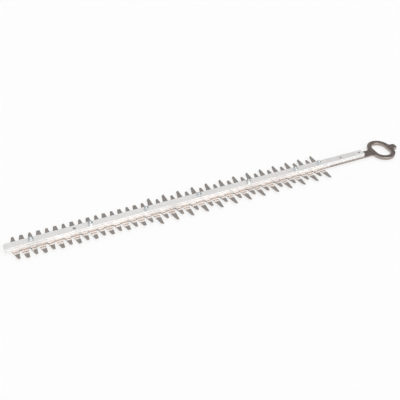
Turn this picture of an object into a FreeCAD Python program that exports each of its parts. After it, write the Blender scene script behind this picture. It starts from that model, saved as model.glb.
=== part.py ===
import FreeCAD, Part
import math
import os
import re

import Sketcher

# Cutter set of a double-sided hedge trimmer: two toothed steel blades slide under an aluminium guide bar.
# Bolts with spacer bushes hold them together, and each blade ends in an oval eye that the machine's
# crank works in. X runs from the tip to the drive end, Y across the blades and Z up.
# While it is built, X = 0 is at the first tooth of the lower blade.

SIZES = [
    # teeth, both blades
    ("tooth_pitch", 35.0, "tooth spacing on each side of each blade"),
    ("tooth_count", 21, "teeth on each side of each blade"),
    ("broad_count", 8, "blunt teeth at the tip of the lower blade, before the long ones"),
    ("cutting_bevel", 0.5, "width of the ground bevel over the blade's thickness"),
    ("root_bite", 3.0, "depth to which a tooth's outline runs into the strip"),
    # lower blade's teeth; back is towards the tip, front is towards the drive end
    ("lower_root_back", 10.1, "root of a lower tooth, behind its station"),
    ("lower_root_front", 5.1, "root of a lower tooth, ahead of its station"),
    ("broad_reach", 35.5, "blunt tooth's tip from the blade's centre line"),
    ("broad_tip_back", 3.5, "blunt tip, behind its station"),
    ("broad_tip_front", 3.3, "blunt tip, ahead of its station"),
    ("long_shoulder_reach", 42.0, "shoulder of a long tooth from the centre line"),
    ("long_shoulder_back", 2.7, "shoulder of a long tooth, behind its station"),
    ("long_reach", 45.6, "long tooth's tip from the centre line"),
    ("long_point", 0.9, "start of a long tooth's point, ahead of its station"),
    ("long_tip_front", 3.4, "front of a long tooth's point, ahead of its station"),
    # upper blade's teeth
    ("short_root_back", 9.3, "root of an upper tooth, behind its station"),
    ("short_root_front", 4.8, "root of an upper tooth, ahead of its station"),
    ("short_reach", 34.0, "upper tooth's tip from the centre line"),
    ("short_tip_back", 3.2, "upper tooth's tip, behind its station"),
    ("short_tip_front", 2.3, "upper tooth's tip, ahead of its station"),
    ("tip_clip", 1.2, "corner taken off the back of an upper tooth's tip"),
    # strips
    ("blade_thickness", 1.85, "thickness of each blade"),
    ("blade_width", 20.8, "width of a blade between its teeth"),
    ("nose_land", 0.4, "strip left behind the first tooth's root"),
    ("weld_land", 15.0, "strip left between the last slot and the butt weld"),
    ("running_play", 0.1, "gap between sliding faces"),
    ("half_stroke", 8.75, "travel of a blade each way"),
    # bolts, nuts, washers and bushes
    ("bolt_count", 7, "bolts along the bar"),
    ("first_bolt", 14.0, "first bolt from the first lower tooth"),
    ("last_bolt_lead", 4.5, "last bolt before the last lower tooth"),
    ("last_bolt_step", 64.0, "spacing of the last two bolts"),
    ("bolt_diameter", 6.0, "bolt's shank"),
    ("bolt_clearance", 0.2, "radial clearance of the holes on the bolts"),
    ("thread_clearance", 0.05, "radial clearance of the nut's thread"),
    ("head_flats", 10.0, "bolt head across flats"),
    ("head_height", 4.0, "bolt head's height"),
    ("thread_end", 2.0, "thread that stands out of the nut"),
    ("nut_flats", 10.0, "nut across flats"),
    ("nut_height", 5.0, "nut's height"),
    ("hex_chamfer", 0.5, "chamfer on the nuts and the bolt heads"),
    ("washer_diameter", 16.0, "washer's outer diameter"),
    ("washer_thickness", 1.2, "washer's thickness"),
    ("bush_diameter", 9.0, "spacer bush's outer diameter"),
    ("slot_side_play", 0.3, "gap between a bush and the side of its slot"),
    ("slot_end_play", 0.4, "gap between a bush and the end of its slot at full stroke"),
    # guide bar
    ("bar_width", 18.0, "guide bar's width"),
    ("bar_height", 9.1, "guide bar's height"),
    ("bar_chamfer", 0.4, "chamfer on the bar's upper edges"),
    ("groove_depth", 0.6, "drawn groove along each side of the bar"),
    ("groove_half_height", 0.8, "half the height of that groove"),
    ("tip_cover", 5.05, "bar left ahead of the blades at full stroke"),
    ("tip_radius", 6.0, "rounded corners of the bar's tip"),
    ("oil_hole_step", 89.0, "oil hole from the first bolt"),
    ("gear_hole_land", 19.0, "shank left between the butt weld and the first gear case slot"),
    ("gear_hole_spacing", 54.0, "spacing of the two gear case holes"),
    ("bar_hole_diameter", 6.4, "gear case holes and oil hole"),
    ("bar_tail", 11.0, "bar past the last gear case hole"),
    # drive eyes
    ("cam_radius", 17.9, "crank's cam that works in the eye"),
    ("cam_clearance", 0.3, "gap round that cam"),
    ("eye_wall", 11.1, "width of the eye's band"),
    ("eye_thickness", 3.6, "thickness of each eye"),
    ("eye_clearance", 19.25, "gap from the bar to the eye at full stroke"),
    ("eye_chamfer", 0.6, "chamfer on the eye's outer face"),
    ("neck_radius", 8.0, "fillet between the shank and the eye"),
    ("tab_width", 17.0, "guide tab's width"),
    ("tab_reach", 14.4, "guide tab's length past the eye"),
    ("tab_radius", 5.0, "rounded corners of the guide tab"),
    ("tab_root_radius", 5.0, "fillet between the guide tab and the eye"),
]

doc = FreeCAD.newDocument("hedge_trimmer_blade")
sheet = doc.addObject("Spreadsheet::Sheet", "sizes")
for row, (alias, number, note) in enumerate(SIZES, 1):
    sheet.set(f"A{row}", note)
    sheet.set(f"B{row}", str(number))
    sheet.setAlias(f"B{row}", alias)
doc.recompute()
ALIASES = {alias for alias, number, note in SIZES}


def bound(text):
    """An expression in plain size names, with each name pointed at the sheet."""
    return re.sub(r"[a-z_]+", lambda word: f"sizes.{word[0]}" if word[0] in ALIASES else word[0], text)


def value(text):
    return float(sheet.evalExpression(bound(text)))


# Stations along X
bolts = int(value("bolt_count"))
last_tooth = "(tooth_pitch * (tooth_count - 1))"
last_bolt = f"({last_tooth} - last_bolt_lead)"
even_bolts = bolts - 1
bolt_spacing = f"(({last_bolt} - last_bolt_step - first_bolt) / {even_bolts - 1})"
BOLTS = [f"(first_bolt + {bolt_spacing} * {number})" for number in range(even_bolts)] + [last_bolt]
SLOT_RADIUS = "(bush_diameter / 2 + slot_side_play)"
SLOT_RUN = "(half_stroke + slot_end_play - slot_side_play)"
slot_half = f"({SLOT_RADIUS} + {SLOT_RUN})"
NOSE = "(tooth_pitch / 2 + short_root_back + nose_land)"
WELD = f"({last_bolt} + {slot_half} + weld_land)"
first_gear_hole = f"({WELD} + gear_hole_land + {slot_half})"
GEAR_HOLES = [first_gear_hole, f"({first_gear_hole} + gear_hole_spacing)"]
OIL_HOLE = "(first_bolt + oil_hole_step)"
BAR_TIP = f"({NOSE} + half_stroke + tip_cover)"
BAR_END = f"({GEAR_HOLES[1]} + bar_tail)"
EYE_HOLE = "(cam_radius + cam_clearance)"
EYE_RADIUS = f"({EYE_HOLE} + eye_wall)"
EYE = f"({BAR_END} + eye_clearance + half_stroke + {EYE_RADIUS})"
TAB_END = f"({EYE} + {EYE_RADIUS} + tab_reach)"

# Levels along Z, from the surface under the bolt heads
WASHER_TOP = "(head_height + washer_thickness)"
LOWER_CUT = f"({WASHER_TOP} + running_play + blade_thickness)"
UPPER_CUT = f"({LOWER_CUT} + running_play)"
BAR_BOTTOM = f"({UPPER_CUT} + blade_thickness + running_play)"
BAR_TOP = f"({BAR_BOTTOM} + bar_height)"
BOLT_TOP = f"({BAR_TOP} + nut_height + thread_end)"

HALF_WIDTH = "(blade_width / 2)"
BOLT_RADIUS = "(bolt_diameter / 2)"
BOLT_HOLE = "(bolt_diameter / 2 + bolt_clearance)"


def new_body(name, level):
    """A body at a level above the surface, with the middle of the whole set at X = 0."""
    body = doc.addObject("PartDesign::Body", name)
    body.Label = name
    body.setExpression("Placement.Base.x", bound(f"({BAR_TIP} - {TAB_END}) / 2"))
    body.setExpression("Placement.Base.z", bound(level))
    return body


def origin_feature(body, role):
    return next(feature for feature in body.Origin.OriginFeatures if feature.Role == role)


class Outline:
    """A sketch on one of a body's own planes, with every point bound to the sheet."""

    def __init__(self, body, name, plane="XY_Plane", offset="0"):
        self.sketch = body.newObject("Sketcher::SketchObject", f"{body.Name}_{name}")
        self.sketch.AttachmentSupport = (origin_feature(body, plane), [""])
        self.sketch.MapMode = "FlatFace"
        self.sketch.setExpression("AttachmentOffset.Base.z", bound(offset))

    def bind(self, kind, place, text):
        number = self.sketch.addConstraint(Sketcher.Constraint(kind, *place, value(text)))
        self.sketch.setExpression(f"Constraints[{number}]", bound(text))

    def pin(self, edge, end, x, y):
        self.bind("DistanceX", (-1, 1, edge, end), x)
        self.bind("DistanceY", (-1, 1, edge, end), y)

    def closed(self, corners):
        """A closed outline: (x, y) goes straight on, (x, y, radius, cx, cy) turns round a centre."""
        points = [FreeCAD.Vector(value(c[0]), value(c[1])) for c in corners]
        edges = []
        for number, corner in enumerate(corners):
            start, end = points[number], points[(number + 1) % len(corners)]
            if len(corner) == 2:
                edges.append(self.sketch.addGeometry(Part.LineSegment(start, end)))
                continue
            centre = FreeCAD.Vector(value(corner[3]), value(corner[4]))
            middle = (start + end) / 2 - centre
            middle = centre + middle * (value(corner[2]) / middle.Length)
            edges.append(self.sketch.addGeometry(Part.Arc(start, middle, end)))
        starts = [self.start_of(edge, points[number]) for number, edge in enumerate(edges)]
        for number, corner in enumerate(corners):
            before = number - 1
            joint = (edges[before], 3 - starts[before], edges[number], starts[number])
            self.sketch.addConstraint(Sketcher.Constraint("Coincident", *joint))
            self.pin(edges[number], starts[number], corner[0], corner[1])
            if len(corner) > 2:
                self.bind("Radius", (edges[number],), corner[2])

    def start_of(self, edge, point):
        """Which end of an edge, 1 or 2, lies at a point: arcs are always kept anticlockwise."""
        return 1 if self.sketch.getPoint(edge, 1).isEqual(point, 1e-6) else 2

    def circle(self, x, y, radius):
        centre = FreeCAD.Vector(value(x), value(y))
        edge = self.sketch.addGeometry(Part.Circle(centre, FreeCAD.Vector(0, 0, 1), value(radius)))
        self.pin(edge, 3, x, y)
        self.bind("Radius", (edge,), radius)

    def oval(self, x, radius, run, along_y=False):
        """Two half circles on the centre line, each run away from x, and their two tangents."""
        shift = FreeCAD.Vector(0, value(run)) if along_y else FreeCAD.Vector(value(run), 0)
        turn = math.pi / 2 if along_y else 0
        middle = FreeCAD.Vector(value(x), 0)
        side = FreeCAD.Vector(-shift.y, shift.x).normalize() * value(radius)
        up = FreeCAD.Vector(0, 0, 1)
        quarter = math.pi / 2
        first_circle = Part.Circle(middle + shift, up, value(radius))
        last_circle = Part.Circle(middle - shift, up, value(radius))
        first = Part.ArcOfCircle(first_circle, turn - quarter, turn + quarter)
        last = Part.ArcOfCircle(last_circle, turn + quarter, turn + 3 * quarter)
        far = Part.LineSegment(middle + shift + side, middle - shift + side)
        near = Part.LineSegment(middle - shift - side, middle + shift - side)
        edges = [self.sketch.addGeometry(piece) for piece in (first, far, last, near)]
        for number, edge in enumerate(edges):
            self.sketch.addConstraint(Sketcher.Constraint("Tangent", edges[number - 1], 2, edge, 1))
        for edge, sign in ((edges[0], ""), (edges[2], "-")):
            centre = (x, f"{sign}{run}") if along_y else (f"{x} + {sign}1 * {run}", "0")
            self.pin(edge, 3, *centre)
            self.bind("Radius", (edge,), radius)

    def hexagon(self, x, flats):
        corner = f"{flats} / sqrt(3)"
        turns = [f"{60 * number} deg" for number in range(6)]
        self.closed([(f"{x} + {corner} * cos({turn})", f"{corner} * sin({turn})") for turn in turns])

    def band(self, start, end, width):
        """A rectangle across the centre line, from one X to another."""
        half, other_half = f"{width} / 2", f"-1 * {width} / 2"
        self.closed([(start, other_half), (end, other_half), (end, half), (start, half)])


def pad(body, name, outline, length, down=False, taper=None):
    feature = body.newObject("PartDesign::Pad", f"{body.Name}_{name}")
    feature.Profile = outline.sketch
    feature.setExpression("Length", bound(length))
    feature.Reversed = down
    if taper:
        feature.setExpression("TaperAngle", bound(taper))
    return feature


def cut_through(body, name, outline):
    """A pocket through the whole body, both ways from its sketch."""
    feature = body.newObject("PartDesign::Pocket", f"{body.Name}_{name}")
    feature.Profile = outline.sketch
    feature.Type = "ThroughAll"
    feature.Midplane = True
    return feature


def tooth_row(body, name, side, stations, down):
    """Teeth on both sides of a strip: one pair with ground flanks, repeated along X.
    side is the outline above the centre line, as (x, y); stations is (first, count)."""
    first, count = stations
    inside = f"({HALF_WIDTH} - root_bite)"
    corners = [(side[0][0], inside)] + side + [(side[-1][0], inside)]
    outline = Outline(body, f"{name}_outline")
    for sign in ("", "-1 * "):
        outline.closed([(f"{first} + {x}", f"{sign}({y})") for x, y in corners])
    teeth = pad(body, name, outline, "blade_thickness", down, "-atan(cutting_bevel / blade_thickness)")
    doc.recompute()
    row = body.newObject("PartDesign::LinearPattern", f"{body.Name}_{name}_row")
    row.Originals = [teeth]
    row.Direction = (origin_feature(body, "X_Axis"), [""])
    row.Mode = "Spacing"
    row.setExpression("Offset", bound("tooth_pitch"))
    row.setExpression("Occurrences", bound(count))
    body.Tip = row
    doc.recompute()


def strip(body, down):
    """The blade's plain strip, from its rounded nose to the butt weld, with a slot for each bush."""
    outline = Outline(body, "strip_outline")
    outline.band(f"-1 * {NOSE}", WELD, "blade_width")
    pad(body, "strip", outline, "blade_thickness", down)
    doc.recompute()


def slots(body, stations):
    outline = Outline(body, "slot_outlines")
    for x in stations:
        outline.oval(x, SLOT_RADIUS, SLOT_RUN)
    cut_through(body, "slots", outline)
    doc.recompute()


# Upper blade: short teeth half a pitch behind those of the lower blade, ground on their upper side
upper_blade = new_body("upper_blade", UPPER_CUT)
strip(upper_blade, down=False)
short_tooth = [
    ("-1 * short_root_back", HALF_WIDTH),
    ("-1 * short_tip_back", "short_reach - tip_clip"),
    ("tip_clip - short_tip_back", "short_reach"),
    ("short_tip_front", "short_reach"),
    ("short_root_front", HALF_WIDTH),
]
tooth_row(upper_blade, "short_teeth", short_tooth, ("-1 * tooth_pitch / 2", "tooth_count"), down=False)
slots(upper_blade, BOLTS)

# Lower blade: blunt teeth at the tip, then long hooked ones, ground on their lower side
lower_blade = new_body("lower_blade", LOWER_CUT)
strip(lower_blade, down=True)
broad_tooth = [
    ("-1 * lower_root_back", HALF_WIDTH),
    ("-1 * broad_tip_back", "broad_reach"),
    ("broad_tip_front", "broad_reach"),
    ("lower_root_front", HALF_WIDTH),
]
long_tooth = [
    ("-1 * lower_root_back", HALF_WIDTH),
    ("-1 * long_shoulder_back", "long_shoulder_reach"),
    ("long_point", "long_reach"),
    ("long_tip_front", "long_reach"),
    ("lower_root_front", HALF_WIDTH),
]
tooth_row(lower_blade, "broad_teeth", broad_tooth, ("0", "broad_count"), down=True)
long_teeth = ("tooth_pitch * broad_count", "tooth_count - broad_count")
tooth_row(lower_blade, "long_teeth", long_tooth, long_teeth, down=True)
slots(lower_blade, BOLTS)


def upright_edges(body, places):
    """Names of a body's upright edges at the given (x, y) places."""
    shape = body.Shape.copy()
    shape.Placement = FreeCAD.Placement()
    names = []
    for number, edge in enumerate(shape.Edges, 1):
        ends = [vertex.Point for vertex in edge.Vertexes]
        if len(ends) == 2 and abs(ends[0].x - ends[1].x) + abs(ends[0].y - ends[1].y) < 1e-6:
            if any(math.hypot(ends[0].x - x, ends[0].y - y) < 1e-3 for x, y in places):
                names.append(f"Edge{number}")
    return names


def round_edges(body, name, places, radius):
    fillet = body.newObject("PartDesign::Fillet", f"{body.Name}_{name}")
    fillet.Base = (fillet.BaseFeature, upright_edges(body, places))
    fillet.setExpression("Radius", bound(radius))
    doc.recompute()


def drive_eye(name, level, down):
    """Forged drive end: a shank as thin as its blade, a thicker oval eye and a guide tab.
    Its sliding face is flush with its blade's cutting face."""
    body = new_body(name, level)
    shank = Outline(body, "shank_outline")
    shank.band(WELD, EYE, "blade_width")
    pad(body, "shank", shank, "blade_thickness", down)
    ring = Outline(body, "eye_outline")
    ring.oval(EYE, EYE_RADIUS, "half_stroke", along_y=True)
    pad(body, "eye", ring, "eye_thickness", down)
    tab = Outline(body, "tab_outline")
    tab.band(EYE, TAB_END, "tab_width")
    pad(body, "tab", tab, "eye_thickness", down)
    doc.recompute()

    half = value(HALF_WIDTH)
    tab_half = value("tab_width / 2")
    eye_x, radius, run = value(EYE), value(EYE_RADIUS), value("half_stroke")

    def eye_side(y):
        """Distance of the eye's outer edge from its middle, at a height y on the plan."""
        return math.sqrt(radius ** 2 - max(0.0, y - run) ** 2)

    round_edges(body, "tab_corners", [(value(TAB_END), tab_half), (value(TAB_END), -tab_half)], "tab_radius")
    tab_root = eye_x + eye_side(tab_half)
    round_edges(body, "tab_roots", [(tab_root, tab_half), (tab_root, -tab_half)], "tab_root_radius")
    neck = eye_x - eye_side(half)
    round_edges(body, "neck", [(neck, half), (neck, -half)], "neck_radius")

    hole = Outline(body, "hole_outline")
    hole.oval(EYE, EYE_HOLE, "half_stroke", along_y=True)
    cut_through(body, "hole", hole)
    doc.recompute()
    slots(body, GEAR_HOLES)

    bevel = body.newObject("PartDesign::Chamfer", f"{body.Name}_rim")
    outer = -value("eye_thickness") if down else value("eye_thickness")
    shape = body.Shape.copy()
    shape.Placement = FreeCAD.Placement()
    faces = [f"Face{number}" for number, face in enumerate(shape.Faces, 1)
             if abs(face.BoundBox.ZMin - outer) < 1e-6 and abs(face.BoundBox.ZMax - outer) < 1e-6]
    bevel.Base = (bevel.BaseFeature, faces)
    bevel.setExpression("Size", bound("eye_chamfer"))
    doc.recompute()
    return body


upper_drive_eye = drive_eye("upper_drive_eye", UPPER_CUT, down=False)
lower_drive_eye = drive_eye("lower_drive_eye", LOWER_CUT, down=True)

# Guide bar: a drawn section with a groove along each side, rounded at the tip and drilled for its bolts
guide_bar = new_body("guide_bar", BAR_BOTTOM)
section = Outline(guide_bar, "section", "YZ_Plane", f"-1 * {BAR_TIP}")
right_side = [
    ("bar_width / 2", "0"),
    ("bar_width / 2", "bar_height / 2 - groove_half_height"),
    ("bar_width / 2 - groove_depth", "bar_height / 2"),
    ("bar_width / 2", "bar_height / 2 + groove_half_height"),
    ("bar_width / 2", "bar_height - bar_chamfer"),
    ("bar_width / 2 - bar_chamfer", "bar_height"),
]
section.closed(right_side + [(f"-1 * ({y})", z) for y, z in reversed(right_side)])
pad(guide_bar, "bar", section, f"{BAR_TIP} + {BAR_END}")
corners = Outline(guide_bar, "tip_corners")
outside = "(bar_width / 2 + tip_radius)"
for sign in ("", "-1 * "):
    tip, turn = f"-1 * {BAR_TIP}", f"tip_radius - {BAR_TIP}"
    edge, start = f"{sign}(bar_width / 2)", f"{sign}(bar_width / 2 - tip_radius)"
    corners.closed([
        (tip, start, "tip_radius", turn, start),
        (turn, edge),
        (turn, f"{sign}{outside}"),
        (f"{tip} - tip_radius", f"{sign}{outside}"),
        (f"{tip} - tip_radius", start),
    ])
cut_through(guide_bar, "tip", corners)
holes = Outline(guide_bar, "hole_outlines")
for x in BOLTS:
    holes.circle(x, "0", BOLT_HOLE)
for x in GEAR_HOLES + [OIL_HOLE]:
    holes.circle(x, "0", "bar_hole_diameter / 2")
cut_through(guide_bar, "holes", holes)
doc.recompute()


def chamfer_level(body, level):
    """Chamfers the outer edges of every face that lies at a level of its body."""
    chamfer = body.newObject("PartDesign::Chamfer", f"{body.Name}_chamfer")
    shape = body.Shape.copy()
    shape.Placement = FreeCAD.Placement()
    edges = [f"Edge{number}" for number, edge in enumerate(shape.Edges, 1) if len(edge.Vertexes) == 2
             and all(abs(vertex.Z - level) < 1e-6 for vertex in edge.Vertexes)]
    chamfer.Base = (chamfer.BaseFeature, edges)
    chamfer.setExpression("Size", bound("hex_chamfer"))
    doc.recompute()


# Bolts from below: hexagon heads, with shanks up through the washers, bushes, bar and nuts
blade_bolts = new_body("blade_bolts", "0")
heads = Outline(blade_bolts, "head_outlines")
shanks = Outline(blade_bolts, "shank_outlines")
for x in BOLTS:
    heads.hexagon(x, "head_flats")
    shanks.circle(x, "0", BOLT_RADIUS)
pad(blade_bolts, "heads", heads, "head_height")
pad(blade_bolts, "shanks", shanks, BOLT_TOP)
doc.recompute()
chamfer_level(blade_bolts, 0.0)

bolt_washers = new_body("bolt_washers", "head_height")
rings = Outline(bolt_washers, "outlines")
for x in BOLTS:
    rings.circle(x, "0", "washer_diameter / 2")
    rings.circle(x, "0", BOLT_HOLE)
pad(bolt_washers, "washers", rings, "washer_thickness")

lock_nuts = new_body("lock_nuts", BAR_TOP)
nuts = Outline(lock_nuts, "outlines")
for x in BOLTS:
    nuts.hexagon(x, "nut_flats")
    nuts.circle(x, "0", f"{BOLT_RADIUS} + thread_clearance")
pad(lock_nuts, "nuts", nuts, "nut_height")
doc.recompute()
chamfer_level(lock_nuts, value("nut_height"))

# Spacer bushes: sleeves clamped between washer and bar, a little longer than the two blades are thick
bushes = []
for number, x in enumerate(BOLTS, 1):
    bush = new_body(f"spacer_bush_{number}", WASHER_TOP)
    sleeve = Outline(bush, "outline")
    sleeve.circle(x, "0", "bush_diameter / 2")
    sleeve.circle(x, "0", BOLT_HOLE)
    pad(bush, "sleeve", sleeve, f"{BAR_BOTTOM} - {WASHER_TOP}")
    bushes.append(bush)
doc.recompute()

failed = [item.Name for item in doc.Objects if {"Invalid", "Error"} & set(item.State)]
if failed:
    raise RuntimeError(f"failed objects: {failed}")
nodes = [guide_bar, upper_blade, lower_blade, upper_drive_eye, lower_drive_eye]
nodes += [blade_bolts, bolt_washers, lock_nuts] + bushes
for node in nodes:
    if node.Shape.isNull() or not node.Shape.isValid():
        raise RuntimeError(f"{node.Label} has no valid shape")
os.makedirs("parts", exist_ok=True)
for node in nodes:
    node.Shape.exportStep(f"parts/{node.Label}.step")
    print(f"{node.Label}: {len(node.Shape.Solids)} solids, {node.Shape.Volume:.0f} mm3")
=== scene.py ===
import math

import bpy
import numpy as np
from mathutils import Matrix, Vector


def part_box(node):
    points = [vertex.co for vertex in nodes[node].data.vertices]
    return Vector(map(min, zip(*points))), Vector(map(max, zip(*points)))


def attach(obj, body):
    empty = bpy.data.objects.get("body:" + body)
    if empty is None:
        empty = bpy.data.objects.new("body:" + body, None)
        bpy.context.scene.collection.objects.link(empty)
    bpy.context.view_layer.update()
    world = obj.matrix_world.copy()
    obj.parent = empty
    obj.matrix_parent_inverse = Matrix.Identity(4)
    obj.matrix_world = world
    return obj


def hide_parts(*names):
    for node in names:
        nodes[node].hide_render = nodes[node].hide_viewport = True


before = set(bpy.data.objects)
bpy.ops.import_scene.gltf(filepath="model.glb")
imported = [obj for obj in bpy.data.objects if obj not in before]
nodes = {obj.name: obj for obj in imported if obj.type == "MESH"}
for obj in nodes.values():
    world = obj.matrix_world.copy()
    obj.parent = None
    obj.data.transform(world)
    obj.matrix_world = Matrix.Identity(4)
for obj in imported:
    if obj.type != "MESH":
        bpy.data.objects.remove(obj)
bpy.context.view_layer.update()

# Guide bar
# A bar of drawn aluminium, 18 by 9 mm, with the satin skin and the fine lengthwise lines that the die
# leaves. It lies on the blades and takes the bolts, and its drive end is screwed to the machine's gear case.
MM = 0.001


def linear(code):
    """Linear RGBA of an sRGB hex colour: the sRGB curve undone on each channel."""
    channels = np.array([int(code[i : i + 2], 16) for i in (1, 3, 5)]) / 255
    bright = ((channels + 0.055) / 1.055) ** 2.4
    return (*np.where(channels <= 0.04045, channels / 12.92, bright).tolist(), 1.0)


def add(tree, kind, settings, links):
    """Adds a node: settings go to its input sockets or properties, and links join outputs to its inputs."""
    node = tree.nodes.new(kind)
    for name, value in settings.items():
        if isinstance(name, int) or name in node.inputs:
            node.inputs[name].default_value = value
        else:
            setattr(node, name, value)
    for name, output in links.items():
        tree.links.new(output, node.inputs[name])
    return node


def new_finish(name):
    """A node material with the given name, its tree and its Principled shader."""
    material = bpy.data.materials.new(name)
    material.use_nodes = True
    return material, material.node_tree, material.node_tree.nodes["Principled BSDF"]


# Drawn aluminium, washed and left bare: a pale satin metal with soft streaks along its length and dull
# patches from handling. The die lines are a tenth of a millimetre apart, and are drawn 1.3 mm apart so that
# they show. Faces that slope down like the upper walls of the side grooves are painted a darker grey-brown:
# painted shade for the shade under the groove's lip.
DIE_LINE_GAP = 1.3 * MM
STREAK_LENGTH = 140.0 * MM
HANDLED_PATCH = 45.0 * MM
drawn_aluminium, tree, skin = new_finish("drawn_aluminium_satin")
place = add(tree, "ShaderNodeTexCoord", {}, {})
die_lines = add(tree, "ShaderNodeMapping",
                {"Scale": (1 / STREAK_LENGTH, 1 / DIE_LINE_GAP, 1 / DIE_LINE_GAP)},
                {"Vector": place.outputs["Object"]})
streaks = add(tree, "ShaderNodeTexNoise", {"Scale": 1.0, "Detail": 3.0, "Roughness": 0.6},
              {"Vector": die_lines.outputs["Vector"]})
patches = add(tree, "ShaderNodeTexNoise", {"Scale": 1 / HANDLED_PATCH, "Detail": 4.0, "Roughness": 0.55},
              {"Vector": place.outputs["Object"]})
tone = add(tree, "ShaderNodeMix", {"data_type": "RGBA", 6: linear("#EBEAE9"), 7: linear("#F6F5F4")},
           {"Factor": streaks.outputs["Fac"]})
handled = add(tree, "ShaderNodeMapRange",
              {"From Min": 0.52, "From Max": 0.75, "To Min": 0.0, "To Max": 0.35},
              {"Value": patches.outputs["Fac"]})
dulled = add(tree, "ShaderNodeMix", {"data_type": "RGBA", 7: linear("#DBD9D7")},
             {"Factor": handled.outputs["Result"], 6: tone.outputs[2]})
facing = add(tree, "ShaderNodeNewGeometry", {}, {})
slope = add(tree, "ShaderNodeSeparateXYZ", {}, {"Vector": facing.outputs["True Normal"]})
GROOVE_WALL_SLOPE = -0.6
off_slope = add(tree, "ShaderNodeMath", {"operation": "SUBTRACT", 1: GROOVE_WALL_SLOPE},
                {0: slope.outputs["Z"]})
how_far = add(tree, "ShaderNodeMath", {"operation": "ABSOLUTE"}, {0: off_slope.outputs["Value"]})
groove_shade_mask = add(tree, "ShaderNodeMapRange", {"From Min": 0.2, "From Max": 0.1},
                {"Value": how_far.outputs["Value"]})
# Painted shade: faces that slope down like the grooves' upper walls are mixed towards a darker grey-brown.
painted_groove_shade = add(tree, "ShaderNodeMix", {"data_type": "RGBA", 7: linear("#9A908A")},
             {"Factor": groove_shade_mask.outputs["Result"], 6: dulled.outputs[2]})
satin = add(tree, "ShaderNodeMapRange", {"From Min": 0.3, "From Max": 0.7, "To Min": 0.48, "To Max": 0.60},
            {"Value": patches.outputs["Fac"]})
drawn_relief = add(tree, "ShaderNodeBump", {"Strength": 0.12, "Distance": 0.05 * MM},
                   {"Height": streaks.outputs["Fac"]})
skin.inputs["Metallic"].default_value = 1.0
tree.links.new(painted_groove_shade.outputs[2], skin.inputs["Base Color"])
tree.links.new(satin.outputs["Result"], skin.inputs["Roughness"])
tree.links.new(drawn_relief.outputs["Normal"], skin.inputs["Normal"])
nodes["guide_bar"].material_slots[0].material = drawn_aluminium

# Upper and lower blade
# Two strips of hardened spring steel, 1.85 mm thick, with a row of teeth on each side. Their faces are
# ground and polished, and the teeth are bevelled from the outer face, so the edges meet where they slide.

# Ground spring steel: a slightly warm grey mirror with fine lines from the wheel along the strip. The lines
# are 0.05 mm apart, and are drawn 0.9 mm apart so that they show. The bevelled flanks come from a coarser
# wheel and are duller. The faces are ground a little hollow across the strip, so that the teeth press on
# each other at their tips.
WHEEL_LINE_GAP = 0.9 * MM
WHEEL_LINE_LENGTH = 60.0 * MM
OIL_PATCH = 22.0 * MM
blade_steel, tree, skin = new_finish("spring_steel_ground")
place = add(tree, "ShaderNodeTexCoord", {}, {})
wheel_lines = add(tree, "ShaderNodeMapping",
                  {"Scale": (1 / WHEEL_LINE_LENGTH, 1 / WHEEL_LINE_GAP, 1 / WHEEL_LINE_GAP)},
                  {"Vector": place.outputs["Object"]})
lines = add(tree, "ShaderNodeTexNoise", {"Scale": 1.0, "Detail": 3.0, "Roughness": 0.6},
            {"Vector": wheel_lines.outputs["Vector"]})
oil = add(tree, "ShaderNodeTexNoise", {"Scale": 1 / OIL_PATCH, "Detail": 3.0, "Roughness": 0.5},
          {"Vector": place.outputs["Object"]})
facing = add(tree, "ShaderNodeNewGeometry", {}, {})
slope = add(tree, "ShaderNodeSeparateXYZ", {}, {"Vector": facing.outputs["True Normal"]})
steep = add(tree, "ShaderNodeMath", {"operation": "ABSOLUTE"}, {0: slope.outputs["Z"]})
flank = add(tree, "ShaderNodeMapRange", {"From Min": 0.98, "From Max": 0.90, "To Min": 0.0, "To Max": 1.0},
            {"Value": steep.outputs["Value"]})
face_tone = add(tree, "ShaderNodeMix", {"data_type": "RGBA", 6: linear("#CCC4BF"), 7: linear("#DAD2CD")},
                {"Factor": oil.outputs["Fac"]})
steel_tone = add(tree, "ShaderNodeMix", {"data_type": "RGBA", 7: linear("#B4AAA3")},
                 {"Factor": flank.outputs["Result"], 6: face_tone.outputs[2]})
polish = add(tree, "ShaderNodeMapRange", {"From Min": 0.3, "From Max": 0.7, "To Min": 0.09, "To Max": 0.17},
             {"Value": lines.outputs["Fac"]})
dullness = add(tree, "ShaderNodeMix", {"data_type": "FLOAT", 3: 0.38},
               {"Factor": flank.outputs["Result"], 2: polish.outputs["Result"]})
across = add(tree, "ShaderNodeSeparateXYZ", {}, {"Vector": place.outputs["Object"]})
HOLLOW_TILT = math.tan(math.radians(2.2))
HOLLOW_REACH = 20.0 * MM
hollow = add(tree, "ShaderNodeMapRange",
             {"From Min": -HOLLOW_REACH, "From Max": HOLLOW_REACH,
              "To Min": HOLLOW_TILT, "To Max": -HOLLOW_TILT},
             {"Value": across.outputs["Y"]})
lean = add(tree, "ShaderNodeCombineXYZ", {}, {"Y": hollow.outputs["Result"]})
leaning = add(tree, "ShaderNodeVectorMath", {"operation": "ADD"},
              {0: facing.outputs["Normal"], 1: lean.outputs["Vector"]})
hollow_face = add(tree, "ShaderNodeVectorMath", {"operation": "NORMALIZE"}, {0: leaning.outputs["Vector"]})
ground_relief = add(tree, "ShaderNodeBump", {"Strength": 0.05, "Distance": 0.02 * MM},
                    {"Height": lines.outputs["Fac"], "Normal": hollow_face.outputs["Vector"]})
skin.inputs["Metallic"].default_value = 1.0
tree.links.new(steel_tone.outputs[2], skin.inputs["Base Color"])
tree.links.new(dullness.outputs[0], skin.inputs["Roughness"])
tree.links.new(ground_relief.outputs["Normal"], skin.inputs["Normal"])
for name in ("upper_blade", "lower_blade"):
    nodes[name].material_slots[0].material = blade_steel

# Drive eyes
# Two thick oval eyes of forged steel with a neck and a guide tab, butt-welded to the blades under the bar.
# The crank's cams turn in them, and tumbling has smoothed them all over.

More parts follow.
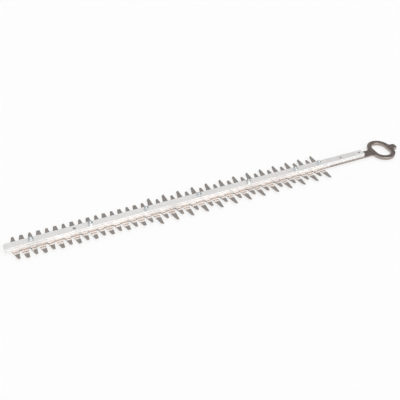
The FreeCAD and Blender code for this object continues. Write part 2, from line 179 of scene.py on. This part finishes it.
# Forged steel, tumbled: a warm grey, darker than the blades, with cloudy patches of oil and a fine orange
# peel of 1.6 mm that the tumbling leaves.
EYE_CLOUD = 18.0 * MM
ORANGE_PEEL = 1.6 * MM
forged_steel, tree, skin = new_finish("forged_steel_tumbled")
place = add(tree, "ShaderNodeTexCoord", {}, {})
clouds = add(tree, "ShaderNodeTexNoise", {"Scale": 1 / EYE_CLOUD, "Detail": 3.0, "Roughness": 0.5},
             {"Vector": place.outputs["Object"]})
peel = add(tree, "ShaderNodeTexNoise", {"Scale": 1 / ORANGE_PEEL, "Detail": 2.0, "Roughness": 0.5},
           {"Vector": place.outputs["Object"]})
eye_tone = add(tree, "ShaderNodeMix", {"data_type": "RGBA", 6: linear("#9B8F88"), 7: linear("#AFA49E")},
               {"Factor": clouds.outputs["Fac"]})
eye_sheen = add(tree, "ShaderNodeMapRange",
                {"From Min": 0.3, "From Max": 0.7, "To Min": 0.14, "To Max": 0.28},
                {"Value": clouds.outputs["Fac"]})
eye_relief = add(tree, "ShaderNodeBump", {"Strength": 0.06, "Distance": 0.04 * MM},
                 {"Height": peel.outputs["Fac"]})
skin.inputs["Metallic"].default_value = 1.0
tree.links.new(eye_tone.outputs[2], skin.inputs["Base Color"])
tree.links.new(eye_sheen.outputs["Result"], skin.inputs["Roughness"])
tree.links.new(eye_relief.outputs["Normal"], skin.inputs["Normal"])
for name in ("upper_drive_eye", "lower_drive_eye"):
    nodes[name].material_slots[0].material = forged_steel

# Spacer bushes
# Seven turned sleeves of hardened steel, one on each bolt, in the slots of both blades. They are a little
# longer than the two blades are thick, so the nuts can be tight and the blades still slide.

# Hardened steel, turned: a dark grey with faint rings from the tool, 0.4 mm apart.
TOOL_RING_GAP = 0.4 * MM
TOOL_RING_SPAN = 30.0 * MM
BUSH_COUNT = 7
bush_steel, tree, skin = new_finish("hardened_steel_turned")
place = add(tree, "ShaderNodeTexCoord", {}, {})
tool_rings = add(tree, "ShaderNodeMapping",
                 {"Scale": (1 / TOOL_RING_SPAN, 1 / TOOL_RING_SPAN, 1 / TOOL_RING_GAP)},
                 {"Vector": place.outputs["Object"]})
rings = add(tree, "ShaderNodeTexNoise", {"Scale": 1.0, "Detail": 2.0},
            {"Vector": tool_rings.outputs["Vector"]})
bush_tone = add(tree, "ShaderNodeMix", {"data_type": "RGBA", 6: linear("#7C7874"), 7: linear("#96918C")},
                {"Factor": rings.outputs["Fac"]})
skin.inputs["Metallic"].default_value = 1.0
skin.inputs["Roughness"].default_value = 0.32
tree.links.new(bush_tone.outputs[2], skin.inputs["Base Color"])
for number in range(1, BUSH_COUNT + 1):
    nodes[f"spacer_bush_{number}"].material_slots[0].material = bush_steel

# Blade bolts
# Seven M6 bolts of zinc-plated steel, put in from below. The hexagon heads press the washers to the bushes,
# and the rolled threads stand about two turns out of the nuts on top of the bar, with rounded ends.
bush_boxes = [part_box(f"spacer_bush_{number}") for number in range(1, BUSH_COUNT + 1)]
bolt_stations = [(low.x + high.x) / 2 for low, high in bush_boxes]
bolt_low, bolt_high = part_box("blade_bolts")
washer_low, washer_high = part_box("bolt_washers")
bar_low, bar_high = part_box("guide_bar")
nut_low, nut_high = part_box("lock_nuts")
HEX_FLATS = 10.0 * MM
HEX_SOFT_CORNER = 1.125
FACE_RADIUS = 4.7 * MM
HEX_SLOPE = math.tan(math.radians(30))
HEX_END_ROWS = 5
SHARP_EDGE = math.radians(28)
TURN_STEPS = 96
turn = np.linspace(0.0, 2 * np.pi, TURN_STEPS, endpoint=False)


def hexagon_radius(angle):
    """Distance from the axis to a hexagon's side at an angle: half the flats over the cosine of the angle
    from the nearest flat's middle, cut off at the rounded corners."""
    from_flat = (angle + np.pi / 6) % (np.pi / 3) - np.pi / 6
    return HEX_FLATS / 2 * np.minimum(1 / np.cos(from_flat), HEX_SOFT_CORNER)


def hexagon_end(steps):
    """Radius and height of a hexagon's chamfered end, from its round face to its sides: the height rises
    with the radius past the face at 30 degrees, as a turned cone cuts it."""
    side = hexagon_radius(turn)
    share = np.linspace(0.0, 1.0, steps)[:, None]
    radius = FACE_RADIUS + share * (side - FACE_RADIUS)
    return radius, (radius - FACE_RADIUS) * HEX_SLOPE


def lathe_mesh(radius, height, closed):
    """A surface of rows of points round the Z axis, row by row from the given radii and heights. It is
    joined to itself round the axis, and is closed from the last row to the first or by a flat cap at each
    end."""
    rows, steps = radius.shape
    points = np.stack([radius * np.cos(turn), radius * np.sin(turn), height], -1).reshape(-1, 3)
    index = np.arange(rows * steps).reshape(rows, steps)
    caps = np.empty((0, steps), int) if closed else np.stack([index[0, ::-1], index[-1]])
    if closed:
        index = np.vstack([index, index[:1]])
    ahead = np.roll(index, -1, 1)
    sides = np.stack([index[:-1], ahead[:-1], ahead[1:], index[1:]], -1).reshape(-1, 4)
    return points, sides, caps


def repeat_along_bar(name, shape, turns, material):
    """One object with a copy of the shape at each bolt, each turned about its axis by its own angle."""
    points, sides, caps = shape
    c, s, zero, one = np.cos(turns), np.sin(turns), np.zeros(len(turns)), np.ones(len(turns))
    spin = np.stack([c, s, zero, -s, c, zero, zero, zero, one], -1).reshape(-1, 3, 3)
    stations = np.column_stack([bolt_stations, zero, zero])
    copies = points @ spin + stations[:, None, :]
    first = len(points) * np.arange(len(turns))[:, None, None]
    faces = (sides + first).reshape(-1, 4).tolist() + (caps + first).reshape(-1, TURN_STEPS).tolist()
    mesh = bpy.data.meshes.new(name)
    mesh.from_pydata(copies.reshape(-1, 3).tolist(), [], faces)
    mesh.shade_smooth()
    mesh.set_sharp_from_angle(angle=SHARP_EDGE)
    mesh.materials.append(material)
    piece = bpy.data.objects.new(name, mesh)
    bpy.context.scene.collection.objects.link(piece)
    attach(piece, "bar")
    return piece


THREAD_PITCH = 1.0 * MM
THREAD_CREST = 2.96 * MM
THREAD_ROOT = 2.42 * MM
THREAD_FLAT = 0.16
THREAD_FLANK = 0.62
THREAD_RUNOUT = 0.9 * THREAD_PITCH
THREAD_IN_NUT = 1.5 * MM
THREAD_ROWS = 37
SHANK_RADIUS = 3.0 * MM
SHANK_STEP = 0.2 * MM
ROUNDED_END = 0.9 * MM
ROUNDED_ARC = np.radians(85)
ROUNDED_ROWS = 8
BOLT_TURN_STEP = 0.9


def thread_radius(height, end):
    """Radius of the thread at each height and angle: the crest and the root follow a helix of one pitch a
    turn, with flat crests and roots, and the thread runs out into the root at the end of the bolt."""
    along = (height / THREAD_PITCH - turn / (2 * np.pi)) % 1.0
    flank = np.clip((np.abs(2 * along - 1) - THREAD_FLAT) / THREAD_FLANK, 0.0, 1.0)
    full = np.clip((end - height) / THREAD_RUNOUT, 0.0, 1.0)
    crest = THREAD_ROOT + (THREAD_CREST - THREAD_ROOT) * full
    return THREAD_ROOT + (crest - THREAD_ROOT) * flank


head_top = washer_low.z
cone_radius, cone_rise = hexagon_end(HEX_END_ROWS)
thread_start = nut_high.z - THREAD_IN_NUT
round_start = bolt_high.z - ROUNDED_END
thread_heights = np.linspace(thread_start, round_start, THREAD_ROWS)[:, None] + np.zeros(TURN_STEPS)
rounding = np.linspace(0.0, ROUNDED_ARC, ROUNDED_ROWS)[1:, None] + np.zeros(TURN_STEPS)
bolt_radius = np.vstack([
    cone_radius,
    cone_radius[-1:],
    np.full((2, TURN_STEPS), SHANK_RADIUS),
    thread_radius(thread_heights, round_start),
    THREAD_ROOT * np.cos(rounding),
])
bolt_height = np.vstack([
    bolt_low.z + cone_rise,
    np.full((2, TURN_STEPS), head_top),
    np.full((1, TURN_STEPS), thread_start - SHANK_STEP),
    thread_heights,
    round_start + ROUNDED_END * np.sin(rounding),
])
bolt_shape = lathe_mesh(bolt_radius, bolt_height, closed=False)

# Bright zinc plate with a clear passivation: a silvery metal with a cold tinge and a fine cloudy grain of
# 0.8 mm, a little duller where the plating is thick.
ZINC_GRAIN = 0.8 * MM
zinc_plate, tree, skin = new_finish("zinc_plate_bright")
place = add(tree, "ShaderNodeTexCoord", {}, {})
grain = add(tree, "ShaderNodeTexNoise", {"Scale": 1 / ZINC_GRAIN, "Detail": 2.0},
            {"Vector": place.outputs["Object"]})
zinc_tone = add(tree, "ShaderNodeMix", {"data_type": "RGBA", 6: linear("#D0D4D7"), 7: linear("#E2E5E7")},
                {"Factor": grain.outputs["Fac"]})
zinc_sheen = add(tree, "ShaderNodeMapRange",
                 {"From Min": 0.3, "From Max": 0.7, "To Min": 0.12, "To Max": 0.22},
                 {"Value": grain.outputs["Fac"]})
skin.inputs["Metallic"].default_value = 1.0
tree.links.new(zinc_tone.outputs[2], skin.inputs["Base Color"])
tree.links.new(zinc_sheen.outputs["Result"], skin.inputs["Roughness"])
bolt_turns = BOLT_TURN_STEP * np.arange(BUSH_COUNT)
bolts = repeat_along_bar("threaded_bolts", bolt_shape, bolt_turns, zinc_plate)
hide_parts("blade_bolts")

# Washers
# Seven plain washers of zinc-plated steel between the bolt heads and the lower blade, which runs on them.
nodes["bolt_washers"].material_slots[0].material = zinc_plate

# Nuts
# Seven M6 hexagon nuts of zinc-plated steel, 10 mm across the flats, chamfered at both ends and countersunk
# at the thread. They are tightened from above, so each stands at its own angle.
NUT_BORE = 3.03 * MM
NUT_COUNTERSINK = 0.35 * MM
NUT_FIRST_TURN = 0.35
NUT_TURN_STEP = 1.3
nut_bottom, nut_top = nut_low.z, nut_high.z
bore_radii = np.array([NUT_BORE + NUT_COUNTERSINK, NUT_BORE, NUT_BORE, NUT_BORE + NUT_COUNTERSINK])
bore_heights = np.array([nut_bottom, nut_bottom + NUT_COUNTERSINK, nut_top - NUT_COUNTERSINK, nut_top])
nut_radius = np.vstack([
    bore_radii[::-1, None] + np.zeros(TURN_STEPS),
    cone_radius,
    cone_radius[::-1],
])
nut_height = np.vstack([
    bore_heights[::-1, None] + np.zeros(TURN_STEPS),
    nut_bottom + cone_rise,
    nut_top - cone_rise[::-1],
])
nut_shape = lathe_mesh(nut_radius, nut_height, closed=True)
nut_turns = NUT_FIRST_TURN + NUT_TURN_STEP * np.arange(BUSH_COUNT)
nuts = repeat_along_bar("hexagon_nuts", nut_shape, nut_turns, zinc_plate)
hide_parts("lock_nuts")

# Floor
# A plain pale table. It keeps the part's shadow, and light of its own makes it white to the camera and in
# the metal's reflections. It lies a tenth of a millimetre under the part.
FLOOR_HALF = 30.0
FLOOR_LEVEL = -0.1 * MM
FLOOR_LIGHT = 0.76
floor_mesh = bpy.data.meshes.new("floor")
corners = FLOOR_HALF * np.array([[-1, -1], [1, -1], [1, 1], [-1, 1]])
floor_mesh.from_pydata(np.column_stack([corners, np.full(4, FLOOR_LEVEL)]).tolist(), [], [[0, 1, 2, 3]])
floor = bpy.data.objects.new("floor", floor_mesh)
bpy.context.scene.collection.objects.link(floor)
pale_table, tree, skin = new_finish("pale_table")
skin.inputs["Base Color"].default_value = linear("#7C7C7C")
skin.inputs["Roughness"].default_value = 0.9
skin.inputs["Specular IOR Level"].default_value = 0.0
ray = add(tree, "ShaderNodeLightPath", {}, {})
seen_or_mirrored = add(tree, "ShaderNodeMath", {"operation": "MAXIMUM"},
                       {0: ray.outputs["Is Camera Ray"], 1: ray.outputs["Is Glossy Ray"]})
seen = add(tree, "ShaderNodeMath", {"operation": "MAXIMUM"},
           {0: seen_or_mirrored.outputs["Value"], 1: ray.outputs["Is Transmission Ray"]})
own_light = add(tree, "ShaderNodeMath", {"operation": "MULTIPLY", 1: FLOOR_LIGHT},
                {0: seen.outputs["Value"]})
skin.inputs["Emission Color"].default_value = (1.0, 1.0, 1.0, 1.0)
tree.links.new(own_light.outputs["Value"], skin.inputs["Emission Strength"])
floor_mesh.materials.append(pale_table)

# Studio light
# A pale room, white near the floor and overhead, with a grey band between that the flat polished steel
# mirrors. The band is a little darker to the right and higher up. A bright window in front, on the right,
# lights the bar's side, and one soft lamp overhead lights its top and gives the shadow.
GREY_BAND_LIGHT = 0.42
scene = bpy.context.scene
scene.view_settings.view_transform = "Standard"
world = bpy.data.worlds.new("studio")
scene.world = world
world.use_nodes = True
tree = world.node_tree
direction = add(tree, "ShaderNodeTexCoord", {}, {})
axes = add(tree, "ShaderNodeSeparateXYZ", {}, {"Vector": direction.outputs["Generated"]})


def ramp(axis, start, end, strength):
    """Light rising smoothly to its strength as a direction's part along an axis goes from start to end."""
    settings = {"From Min": start, "From Max": end, "To Max": strength, "interpolation_type": "SMOOTHSTEP"}
    return add(tree, "ShaderNodeMapRange", settings, {"Value": axes.outputs[axis]}).outputs["Result"]


low_and_high = add(tree, "ShaderNodeMath", {"operation": "ADD"},
                   {0: ramp("Z", 0.42, 0.28, 0.75), 1: ramp("Z", 0.71, 0.80, 0.80)})
shade = add(tree, "ShaderNodeMath", {"operation": "ADD"},
            {0: ramp("X", 0.50, 0.60, 0.13), 1: ramp("Z", 0.62, 0.71, 0.08)})
grey_band = add(tree, "ShaderNodeMath", {"operation": "SUBTRACT", 0: GREY_BAND_LIGHT},
                {1: shade.outputs["Value"]})
around = add(tree, "ShaderNodeMath", {"operation": "ADD"},
             {0: low_and_high.outputs["Value"], 1: grey_band.outputs["Value"]})
window_height = add(tree, "ShaderNodeMath", {"operation": "MULTIPLY"},
                    {0: ramp("Z", 0.25, 0.42, 1.0), 1: ramp("Y", -0.1, -0.4, 2.6)})
window_width = add(tree, "ShaderNodeMath", {"operation": "MULTIPLY"},
                   {0: ramp("X", -0.40, -0.05, 1.0), 1: ramp("X", 0.85, 0.45, 1.0)})
window = add(tree, "ShaderNodeMath", {"operation": "MULTIPLY"},
             {0: window_height.outputs["Value"], 1: window_width.outputs["Value"]})
level = add(tree, "ShaderNodeMath", {"operation": "MAXIMUM"},
            {0: around.outputs["Value"], 1: window.outputs["Value"]})
tree.links.new(level.outputs["Value"], tree.nodes["Background"].inputs["Strength"])
tree.nodes["Background"].inputs["Color"].default_value = (1.0, 1.0, 1.0, 1.0)


def soft_lamp(name, place, width, height, power):
    """A rectangular lamp at a place, turned to the part: it looks from its place to the origin."""
    lamp = bpy.data.lights.new(name, "AREA")
    lamp.shape = "RECTANGLE"
    lamp.size = width
    lamp.size_y = height
    lamp.energy = power
    holder = bpy.data.objects.new(name, lamp)
    away = np.array(place) / np.linalg.norm(place)
    sideways = np.cross([0.0, 0.0, 1.0], away)
    sideways = sideways / np.linalg.norm(sideways)
    turned = np.eye(4)
    turned[:3] = np.column_stack([sideways, np.cross(away, sideways), away, place])
    holder.matrix_world = Matrix(turned.tolist())
    bpy.context.scene.collection.objects.link(holder)


soft_lamp("soft_overhead", (0.18, 0.575, 2.22), 1.0, 0.5, 2.5)

# Camera
# It looks down at the set from the tip's side, as the photograph does, turned a little about its own axis.
AZIMUTH, ELEVATION, ROLL = np.radians([-25.75, 38.81, 1.76])
AIM = np.array([-55.77, -4.15, 7.2]) * MM
DISTANCE = 1407.0 * MM
back = np.array([
    np.sin(AZIMUTH) * np.cos(ELEVATION),
    -np.cos(AZIMUTH) * np.cos(ELEVATION),
    np.sin(ELEVATION),
])
level_right = np.array([np.cos(AZIMUTH), np.sin(AZIMUTH), 0.0])
level_up = np.cross(back, level_right)
view = np.eye(4)
view[:3, 0] = np.cos(ROLL) * level_right + np.sin(ROLL) * level_up
view[:3, 1] = np.cos(ROLL) * level_up - np.sin(ROLL) * level_right
view[:3, 2] = back
view[:3, 3] = AIM + DISTANCE * back
lens = bpy.data.cameras.new("camera")
lens.sensor_width = 36.0
lens.lens = 57.42
lens.clip_end = 50.0
camera = bpy.data.objects.new("camera", lens)
camera.matrix_world = Matrix(view.tolist())
scene.collection.objects.link(camera)
scene.camera = camera
